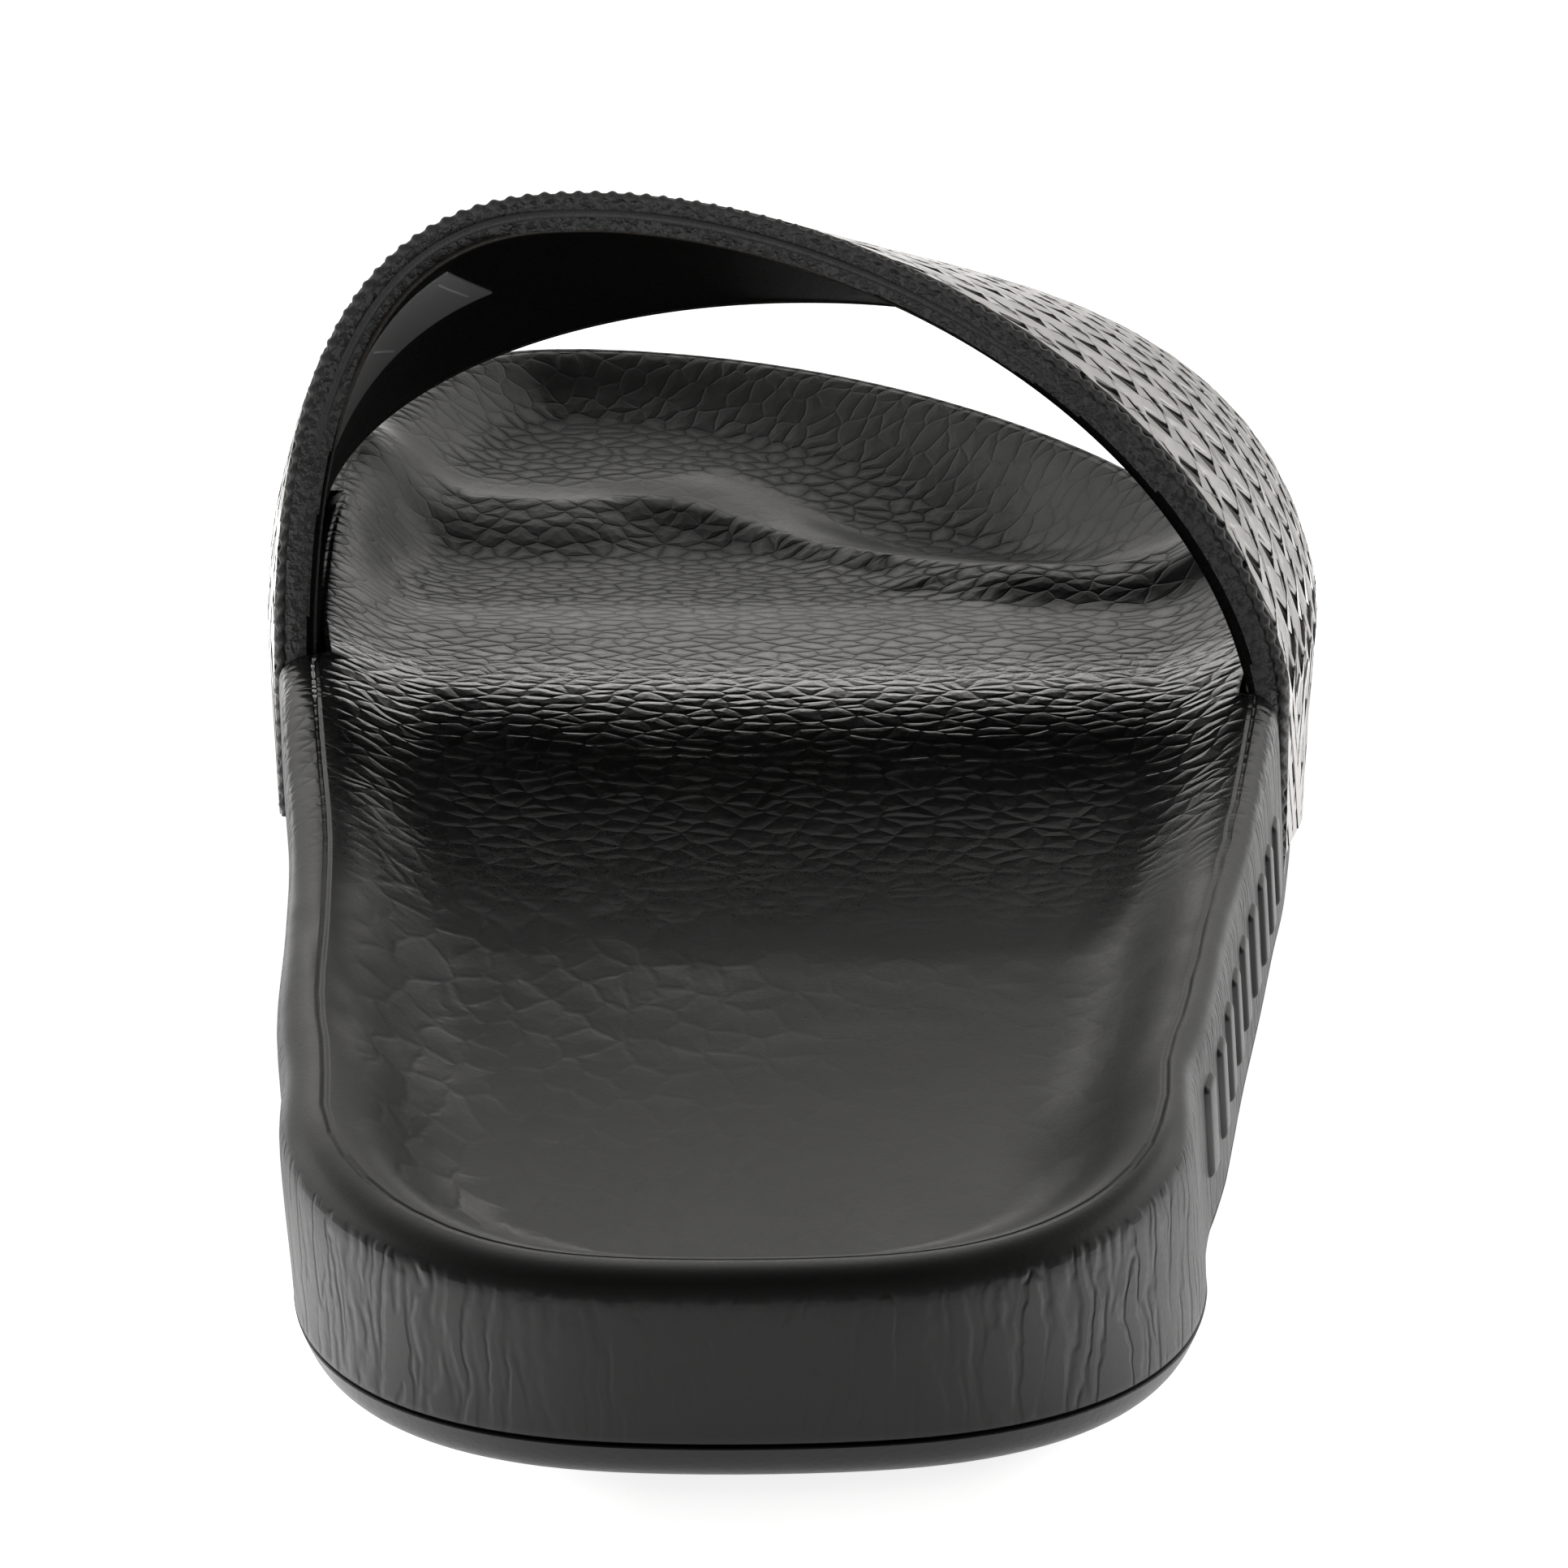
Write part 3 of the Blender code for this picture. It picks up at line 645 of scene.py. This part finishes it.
# Cords along each edge: in from the edge, height over the face, radius, bead pitch, bead swell.
edgeCords = {
    "edgeRoll": (0.45 * mm, 0.10 * mm, 0.50 * mm, 1.6 * mm, 0.34),
    "edgeBead": (0.05 * mm, -1.60 * mm, 0.42 * mm, 0.0, 0.0),
    "liningBinding": (0.60 * mm, -3.12 * mm, 0.30 * mm, 0.0, 0.0),
}
stitches = {
    "pitch": 1.6 * mm,
    "length": 1.15 * mm,
    "width": 0.42 * mm,
    "inFrom": 1.12 * mm,
    "height": 0.06 * mm,
    "colour": grey(0.004),
}
label = {
    "along": (31 * mm, 59 * mm),
    "across": (6.4 * mm, 23.6 * mm),
    "thick": 0.30 * mm,
    "facets": (28, 16),
    "lines": (46.5, 57.0),  # the two woven cross lines, in mm along
    "lineEnds": (1.6, 3.0),  # and mm from the label's rear and front edge
    "colours": (grey(0.24), grey(0.55)),
}
ribs = {
    "count": 9,
    "pitch": 8.6 * mm,
    "size": (1.8 * mm, 4.2 * mm, 8.0 * mm),
    "round": 0.7 * mm,
    "middle": 0.292,  # share of the length
    "height": 11.5 * mm,
    "proud": 0.45 * mm,
}


def evenRow(points, count):
    # points at equal steps along a smooth line through the given ones
    line = [points[0]]
    for here, there in zip(points, points[1:]):
        pieces = max(1, round((there - here).length / (5 * mm)))
        line += [here.lerp(there, k / pieces) for k in range(1, pieces + 1)]
    line = np.array(line)
    line = np.vstack([2 * line[0] - line[1], line, 2 * line[-1] - line[-2]])
    fine = np.linspace(0, len(line) - 3, 2000)
    first = np.minimum(fine.astype(int), len(line) - 4)
    weights = cubicWeights(fine - first)
    dense = sum(weights[:, k, None] * line[first + k] for k in range(4))
    run = np.concatenate([[0], np.cumsum(np.linalg.norm(np.diff(dense, axis=0), axis=1))])
    at = np.linspace(0, run[-1], count)
    return np.stack([np.interp(at, run, dense[:, axis]) for axis in range(3)], axis=1), run[-1]


def cubicWeights(t):
    return np.stack([
        -0.5 * t**3 + t**2 - 0.5 * t,
        1.5 * t**3 - 2.5 * t**2 + 1,
        -1.5 * t**3 + 2 * t**2 + 0.5 * t,
        0.5 * t**3 - 0.5 * t**2,
    ], axis=1)


class StrapFace:
    def __init__(self):
        bm = bmesh.new()
        bm.from_mesh(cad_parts["strap"].data)
        bmesh.ops.remove_doubles(bm, verts=bm.verts, dist=0.01 * mm)
        low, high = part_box("strap")
        middle = Vector(((low.x + high.x) / 2, 0, 20 * mm))

        def isOuter(face):
            away = face.calc_center_median() - middle
            away.y = 0
            wide = min(edge.calc_length() for edge in face.edges) > 1.2 * mm  # not the rounded edge
            return wide and face.normal.dot(away.normalized()) > 0.3

        bmesh.ops.delete(bm, geom=[f for f in bm.faces if not isOuter(f)], context="FACES")
        feet = sorted(
            (v for v in bm.verts if v.is_boundary and v.co.z < low.z + 4 * mm), key=lambda v: v.co.y
        )
        rows, lengths = [], []
        for foot, farFoot in zip([v for v in feet if v.co.x < 0], [v for v in feet if v.co.x > 0]):
            row, heading = [foot], Vector((0, 0, 1))
            while row[-1].co.x < 0 or row[-1].co.z > strap["spring"]:
                here = row[-1]
                around = [edge.other_vert(here) for edge in here.link_edges]
                row.append(max(around, key=lambda v: (v.co - here.co).normalized().dot(heading)))
                heading = (row[-1].co - here.co).normalized()
            row.append(farFoot)
            even, length = evenRow([v.co.copy() for v in row], strap["columns"] + 1)
            rows.append(even)
            lengths.append(length)
        bm.free()
        grid = np.array(rows)
        gaps = np.linalg.norm(np.diff(grid, axis=0), axis=2).mean(1)
        self.rowAt = np.concatenate([[0], np.cumsum(gaps)])
        self.width, self.length = self.rowAt[-1], float(np.mean(lengths))
        # one row and one column more at each side, so that the curve reaches the edges
        grid = np.concatenate([2 * grid[:1] - grid[1:2], grid, 2 * grid[-1:] - grid[-2:-1]])
        before, after = 2 * grid[:, :1] - grid[:, 1:2], 2 * grid[:, -1:] - grid[:, -2:-1]
        self.grid = np.concatenate([before, grid, after], axis=1)

    def spot(self, along, across):
        # along runs from the medial foot to the lateral one, across from rear to front, in metres
        row = np.interp(across, self.rowAt, np.arange(len(self.rowAt)))
        row += (np.minimum(across, 0) + np.maximum(across - self.width, 0)) / np.diff(self.rowAt).mean()
        column = along / self.length * strap["columns"]
        firstRow = np.clip(row.astype(int), 0, len(self.rowAt) - 2)
        firstColumn = np.clip(column.astype(int), 0, strap["columns"] - 1)
        rowWeights, columnWeights = cubicWeights(row - firstRow), cubicWeights(column - firstColumn)
        place = np.zeros((len(along), 3))
        for i in range(4):
            for k in range(4):
                weight = rowWeights[:, i] * columnWeights[:, k]
                place += weight[:, None] * self.grid[firstRow + i, firstColumn + k]
        return place

    def normal(self, along, across):
        step = 0.5 * mm
        run = self.spot(along, across + step) - self.spot(along, across - step)
        rise = self.spot(along + step, across) - self.spot(along - step, across)
        out = np.cross(rise, run)
        return out / np.linalg.norm(out, axis=1)[:, None]

    def wrap(self, mesh):
        # bends a flat mesh onto the strap: x along the arch, y across it, z outwards
        flat = pointsOf(mesh)
        spot = self.spot(flat[:, 0], flat[:, 1])
        setPoints(mesh, spot + self.normal(flat[:, 0], flat[:, 1]) * flat[:, 2:])


strapFace = StrapFace()
print("strap face read:", round(strapFace.length, 4), "m along,", round(strapFace.width, 4), "m across")


def widest(bm):
    return max(bm.faces, key=lambda face: len(face.verts))


def scaleTile():
    # one scale in its groove: a ring of net round it, then the pad, by insets of a rhombus
    bm = bmesh.new()
    bmesh.ops.create_circle(bm, cap_ends=True, segments=strap["tileSides"], radius=1)
    long, wide = strap["tileLong"] / 2, strap["tileWide"] / 2
    for vert in bm.verts:
        x, y = vert.co.x, vert.co.y
        vert.co = (long * x * abs(x), wide * y * abs(y), strap["netHeight"])
    for inwards, lift in strap["tileSteps"]:
        bmesh.ops.inset_individual(
            bm, faces=[widest(bm)], thickness=inwards, depth=lift, use_even_offset=True
        )
    bmesh.ops.poke(bm, faces=[widest(bm)], offset=0.02 * mm)
    return finishMesh(bm, "tile")


def slicedAt(bm, geometry, spot, way):
    cut = bmesh.ops.bisect_plane(bm, geom=geometry, dist=0.002 * mm, plane_co=spot, plane_no=way)
    return cut["geom"]


def makeScales():
    tile = scaleTile()
    bm = bmesh.new()
    long, wide = strap["tileLong"] / 2, strap["tileWide"] / 2
    for m in range(-2, int(strapFace.length / long) + 3):
        for n in range(-6, int(strapFace.width / wide) + 7):
            if (m + n) % 2:
                continue
            known = len(bm.verts)
            bm.from_mesh(tile)
            bm.verts.ensure_lookup_table()
            shift = Vector((m * long, n * wide + (m * long - strapFace.length / 2) * strap["slant"], 0))
            fresh = bm.verts[known:]
            for vert in fresh:
                vert.co.y += vert.co.x * strap["slant"]
            bmesh.ops.translate(bm, verts=fresh, vec=shift)
    bmesh.ops.remove_doubles(bm, verts=bm.verts, dist=0.02 * mm)
    edge = strap["margin"]
    for spot, way in (
        ((strap["footMargin"], 0, 0), (-1, 0, 0)),
        ((strapFace.length - strap["footMargin"], 0, 0), (1, 0, 0)),
        ((0, edge, 0), (0, -1, 0)),
        ((0, strapFace.width - edge, 0), (0, 1, 0)),
    ):
        geometry = bm.verts[:] + bm.edges[:] + bm.faces[:]
        bmesh.ops.bisect_plane(
            bm, geom=geometry, dist=0.005 * mm, plane_co=spot, plane_no=way, clear_outer=True
        )
    rim = [e for e in bm.edges if e.is_boundary]
    skirt = bmesh.ops.extrude_edge_only(bm, edges=rim)["geom"]
    for vert in (g for g in skirt if isinstance(g, bmesh.types.BMVert)):
        vert.co.z = -strap["sunk"]
    below = [e for e in bm.edges if e.is_boundary]
    closing = bmesh.ops.contextual_create(bm, geom=below)["faces"]
    under = closing + [e for f in closing for e in f.edges] + [v for f in closing for v in f.verts]
    under = list(dict.fromkeys(under))
    stepAlong, stepAcross = strap["underStep"]
    for k in range(1, int(strapFace.width / stepAcross)):
        under = slicedAt(bm, under, (0, k * stepAcross, 0), (0, 1, 0))
    for k in range(1, int(strapFace.length / stepAlong)):
        under = slicedAt(bm, under, (k * stepAlong, 0, 0), (1, 0, 0))
    bmesh.ops.recalc_face_normals(bm, faces=bm.faces)
    print("scales:", len(bm.faces), "faces, open edges", sum(e.is_boundary for e in bm.edges))
    mesh = finishMesh(bm, "strapScales")
    paint(mesh, "raised", pointsOf(mesh)[:, 2] / mm)
    strapFace.wrap(mesh)
    mesh.shade_smooth()
    mesh.set_sharp_from_angle(angle=math.radians(50))
    piece = meshObject("strapScales", mesh)
    mesh.materials.append(scaleMaterial())


scales = {
    "pad": grey(0.62, 0.02),
    # painted shade: the grooves between the scales are near black
    "groove": grey(0.005),
    "shine": 0.34,
    "grooveShine": 0.55,
    "metal": 0.7,
    "net": 0.25,  # how much of the pad's colour the net between the grooves has
}


def scaleMaterial():
    material, wire, shader = newMaterial("pearlScale", {"Coat Roughness": 0.2, "Coat IOR": 1.5})
    spot = place(wire)
    fine = speckle(wire, spot, 0.45 * mm, 2.0)
    broad = speckle(wire, spot, 7 * mm, 2.0)
    height = attribute(wire, "raised")
    raised = height.step(0.32, 0.46) * (1 - scales["net"]) + height.step(0.14, 0.30) * scales["net"]
    # painted shade by height: near black in the grooves, partly pad-coloured on the net, fully on the pads
    tone = mixed(wire, raised * (0.85 + fine * 0.15), scales["groove"], scales["pad"])
    link(tone, shader.inputs["Base Color"])
    link(raised * scales["metal"], shader.inputs["Metallic"])
    link(bump(wire, fine, 0.04 * mm), shader.inputs["Normal"])
    rough = scales["grooveShine"] + raised * (scales["shine"] - scales["grooveShine"])
    link(rough + (broad - 0.5) * 0.16, shader.inputs["Roughness"])
    link(raised * (0.15 + broad * 0.2), shader.inputs["Coat Weight"])
    return material


band = {
    "colours": (grey(0.028), grey(0.09)),
    "lining": grey(0.0015),
    "edging": grey(0.06),
    "binding": grey(0.022, 0.2),
    "shine": 0.5,
}


def bandMaterial():
    material, wire, shader = newMaterial("bandEdge", {})
    spot = place(wire)
    fine = speckle(wire, spot, 0.7 * mm, 2.0).step(0.35, 0.65)
    broad = speckle(wire, spot, 5 * mm, 2.0)
    link(mixed(wire, fine * 0.7 + broad * 0.3, *band["colours"]), shader.inputs["Base Color"])
    link(bump(wire, fine, 0.25 * mm), shader.inputs["Normal"])
    link(band["shine"] + (fine - 0.5) * 0.25, shader.inputs["Roughness"])
    return material


def threadMaterial(name, colour, rough):
    # twisted thread: fine oblique ridges
    material, wire, shader = newMaterial(name, {"Base Color": (*colour, 1)})
    spot = place(wire)
    ply = speckle(wire, stretched(wire, spot, (1.6, 0.7, 1.0)), 0.35 * mm, 1.0)
    link(bump(wire, ply, 0.10 * mm), shader.inputs["Normal"])
    link(rough + (ply - 0.5) * 0.3, shader.inputs["Roughness"])
    return material


def liningMaterial():
    material, wire, shader = newMaterial(
        "lining", {"Base Color": (*band["lining"], 1), "Specular IOR Level": 0.06}
    )
    weave = speckle(wire, stretched(wire, place(wire), (1, 2.2, 1)), 0.5 * mm, 1.0)
    link(bump(wire, weave, 0.12 * mm), shader.inputs["Normal"])
    link(band["shine"] + (weave - 0.5) * 0.25, shader.inputs["Roughness"])
    return material


def makeStrapBody():
    mesh = softened(quadCopy("strap"), "strapBody", strap["levels"], 35)
    low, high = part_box("strap")
    middle = Vector(((low.x + high.x) / 2, 0, 20 * mm))
    mesh.materials.append(bandMaterial())
    mesh.materials.append(liningMaterial())
    for face in mesh.polygons:
        away = face.center - middle
        away.y = 0
        face.material_index = int(face.normal.dot(away.normalized()) < -0.4)
    piece = meshObject("strapBody", mesh)
    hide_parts("strap")


def rolledTube(along, across, height, radius, pitch, swell):
    # a grid rolled round a line along the strap, beaded where a pitch is given
    start, end = along
    rings = round((end - start) / pitch * 8) if pitch else round((end - start) / (1.5 * mm))
    bm = bmesh.new()
    bmesh.ops.create_grid(bm, x_segments=rings, y_segments=strap["cordSides"], size=0.5)
    for vert in bm.verts:
        run, turn = start + (vert.co.x + 0.5) * (end - start), (vert.co.y + 0.5) * 2 * math.pi
        thick = radius * (1 + swell * math.cos(2 * math.pi * run / pitch)) if pitch else radius
        vert.co = (run, across + thick * math.cos(turn), height + thick * math.sin(turn))
    bmesh.ops.remove_doubles(bm, verts=bm.verts, dist=0.003 * mm)
    bmesh.ops.holes_fill(bm, edges=[e for e in bm.edges if e.is_boundary], sides=0)
    bmesh.ops.recalc_face_normals(bm, faces=bm.faces)
    return bm


def sewnPiece(name, bm, material):
    mesh = finishMesh(bm, name)
    strapFace.wrap(mesh)
    mesh.shade_smooth()
    piece = meshObject(name, mesh)
    mesh.materials.append(material)


def makeEdges():
    fabric = threadMaterial("edgeFabric", band["edging"], 0.5)
    binding = threadMaterial("bindingThread", band["binding"], 0.4)
    span = (strap["ends"], strapFace.length - strap["ends"])
    for name, (inFrom, height, radius, pitch, swell) in edgeCords.items():
        for edge, across in (("Rear", inFrom), ("Front", strapFace.width - inFrom)):
            cord = rolledTube(span, across, height, radius, pitch, swell)
            sewnPiece(name + edge, cord, binding if name == "liningBinding" else fabric)


def makeStitches():
    bm = bmesh.new()
    count = int((strapFace.length - 2 * strap["ends"]) / stitches["pitch"])
    for across in (stitches["inFrom"], strapFace.width - stitches["inFrom"]):
        for k in range(count):
            made = bmesh.ops.create_uvsphere(bm, u_segments=8, v_segments=5, radius=0.5)["verts"]
            size = (stitches["width"], stitches["width"], stitches["length"])
            bmesh.ops.scale(bm, verts=made, vec=size)
            bmesh.ops.rotate(bm, verts=made, matrix=Euler((0, math.radians(90), 0)).to_matrix())
            run = strap["ends"] + (k + 0.5) * stitches["pitch"]
            bmesh.ops.translate(bm, verts=made, vec=(run, across, stitches["height"]))
    sewnPiece("edgeStitches", bm, threadMaterial("stitchThread", stitches["colour"], 0.4))


def labelMaterial():
    material, wire, shader = newMaterial("wovenLabel", {"Specular IOR Level": 0.3})
    spot = place(wire)
    weave = speckle(wire, stretched(wire, spot, (1, 2.5, 1)), 0.45 * mm, 1.0)
    run, side = attribute(wire, "labelAlong"), attribute(wire, "labelAcross")
    low, high = (edge / mm for edge in label["across"])
    rearEnd, frontEnd = low + label["lineEnds"][0], high - label["lineEnds"][1]
    within = side.step(rearEnd, rearEnd + 0.4) * (1 - side.step(frontEnd - 0.4, frontEnd))
    lines = [1 - wire.maths("ABSOLUTE", run - line).step(0.10, 0.28) for line in label["lines"]]
    line = (lines[0] + lines[1]) * within
    link(mixed(wire, line * 0.8 + weave * 0.2, *label["colours"]), shader.inputs["Base Color"])
    link(bump(wire, weave + line, 0.10 * mm), shader.inputs["Normal"])
    link(0.6 + (weave - 0.5) * 0.3, shader.inputs["Roughness"])
    return material


def makeLabel():
    # the sewn label inside the strap, left bare
    bm = bmesh.new()
    bmesh.ops.create_grid(bm, x_segments=label["facets"][0], y_segments=label["facets"][1], size=0.5)
    (start, end), (rear, fore) = label["along"], label["across"]
    for vert in bm.verts:
        run, side = start + (vert.co.x + 0.5) * (end - start), rear + (vert.co.y + 0.5) * (fore - rear)
        vert.co = (run, side, -strap["wall"] - label["thick"])
    lifted = bmesh.ops.extrude_face_region(bm, geom=bm.faces[:])["geom"]
    upper = [g for g in lifted if isinstance(g, bmesh.types.BMVert)]
    bmesh.ops.translate(bm, verts=upper, vec=(0, 0, 1.6 * label["thick"]))
    bmesh.ops.recalc_face_normals(bm, faces=bm.faces)
    mesh = finishMesh(bm, "strapLabel")
    flat = pointsOf(mesh)
    paint(mesh, "labelAlong", flat[:, 0] / mm)
    paint(mesh, "labelAcross", flat[:, 1] / mm)
    strapFace.wrap(mesh)
    piece = meshObject("strapLabel", mesh)
    mesh.materials.append(labelMaterial())


def makeRibs(skin):
    # plain upright ribs on the outer flank, moulded with the footbed
    bm = bmesh.new()
    bm.from_mesh(skin.data)
    wall = BVHTree.FromBMesh(bm)
    bm.free()
    bm = bmesh.new()
    for k in range(ribs["count"]):
        along = (ribs["middle"] - 0.5) * shoe["length"] + (k - (ribs["count"] - 1) / 2) * ribs["pitch"]
        spot, normal = wall.ray_cast(Vector((0.1, along, ribs["height"])), Vector((-1, 0, 0)))[:2]
        made = bmesh.ops.create_cube(bm, size=1)["verts"]
        bmesh.ops.scale(bm, verts=made, vec=ribs["size"])
        turn = normal.to_track_quat("X", "Z").to_matrix()
        bmesh.ops.rotate(bm, verts=made, matrix=turn)
        bmesh.ops.translate(bm, verts=made, vec=spot + normal * (ribs["proud"] - ribs["size"][0] / 2))
    bmesh.ops.bevel(
        bm, geom=bm.edges[:], offset=ribs["round"], offset_type="OFFSET", segments=4, profile=0.5,
        affect="EDGES", material=-1, clamp_overlap=True,
    )
    bmesh.ops.recalc_face_normals(bm, faces=bm.faces)
    mesh = finishMesh(bm, "flankRibs")
    mesh.shade_smooth()
    piece = meshObject("flankRibs", mesh)
    mesh.materials.append(skin.data.materials[0])


makeStrapBody()
makeScales()
print("strap and scales made")
makeEdges()
makeStitches()
makeLabel()
print("edging, stitches and label made")
makeRibs(footbedSkin)
print("flank ribs made")
